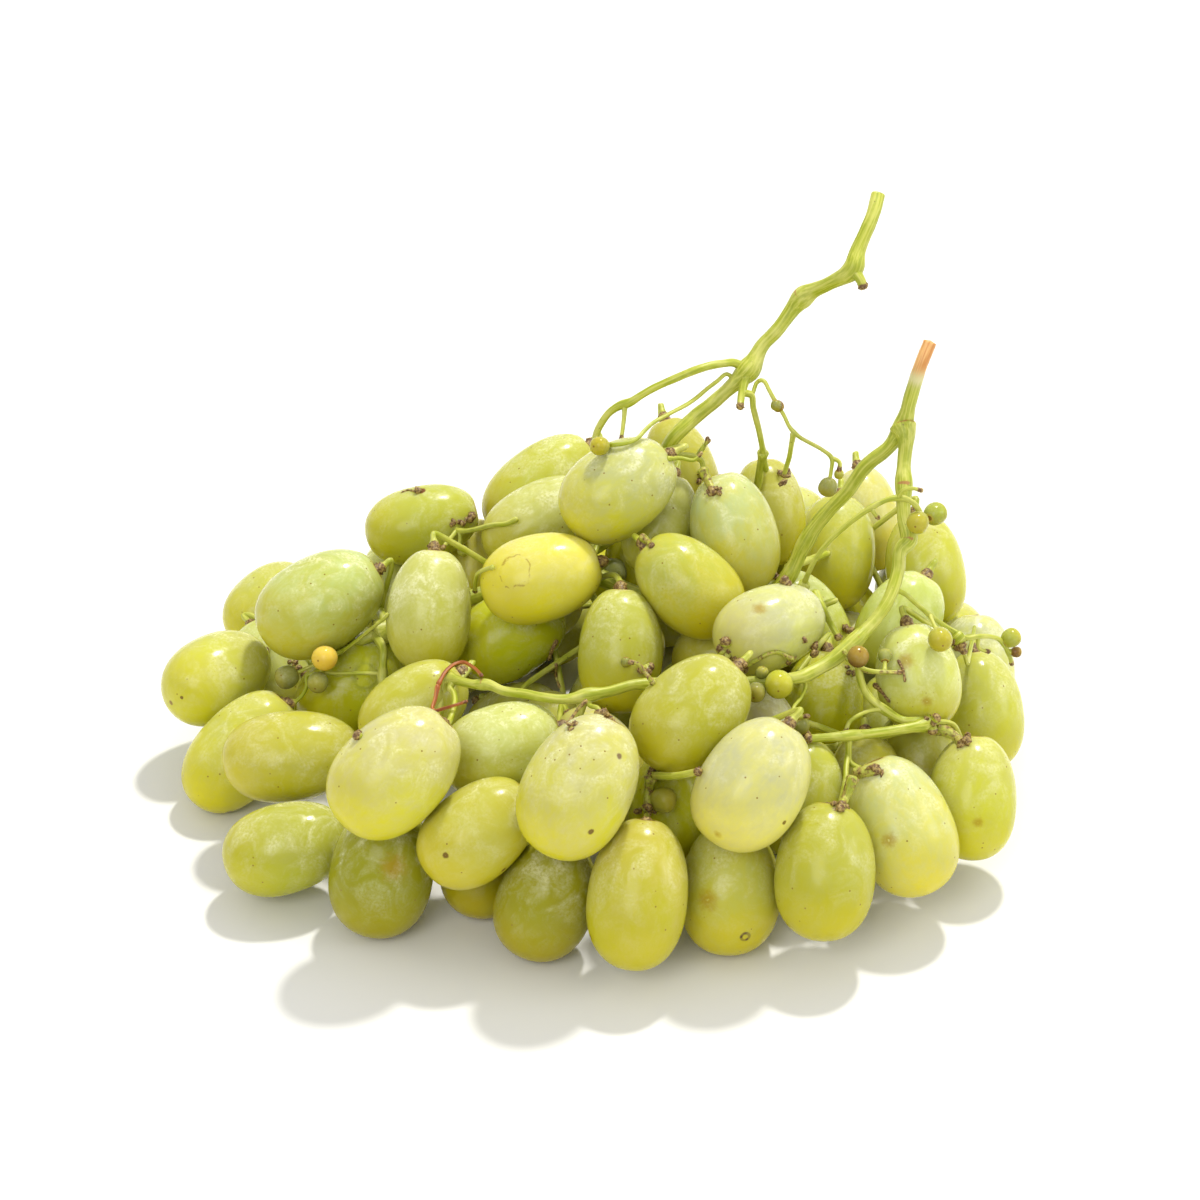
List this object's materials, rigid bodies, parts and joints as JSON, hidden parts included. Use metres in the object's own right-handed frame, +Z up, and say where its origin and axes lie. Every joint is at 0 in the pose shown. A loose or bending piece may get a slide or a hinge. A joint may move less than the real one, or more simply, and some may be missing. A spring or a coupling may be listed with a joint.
{
  "type": "bunch of grapes",
  "caption": "Heaped bunch of long white table grapes on a forked green stem, with side stems, pedicels, undeveloped shot berries and a dried tendril.",
  "frame": {"origin": "bottom centre of the bunch's box, on the surface that it lies on", "axes": "+X along the bunch's length, towards the side that the two stalk ends lean to; +Y from its front to its rear; +Z up"},
  "size_m": [0.1845, 0.1644, 0.1161],
  "materials": {
    "grape_skin": "fresh, translucent skin with a powdery bloom",
    "green_stem": "fresh green stem with brown corky ends",
    "dried_stem": "dry, red-brown"
  },
  "bodies": {
    "root": {"main_stem": "green_stem", "dried_tendril": "dried_stem", "spray_top": "grape_skin", "spray_top_rear": "grape_skin", "spray_top_right": "grape_skin", "spray_rear_right": "grape_skin", "spray_right_upper": "grape_skin", "spray_right": "grape_skin", "spray_right_inner": "grape_skin", "spray_right_front": "grape_skin", "spray_right_centre": "grape_skin", "spray_centre": "grape_skin", "spray_centre_left": "grape_skin", "spray_top_left": "grape_skin", "spray_rear_left": "grape_skin", "spray_left_upper": "grape_skin", "spray_left_low": "grape_skin", "spray_left_front": "grape_skin", "spray_front_left": "grape_skin", "spray_front_centre": "grape_skin", "spray_front_low": "grape_skin"}
  },
  "joints": []
}
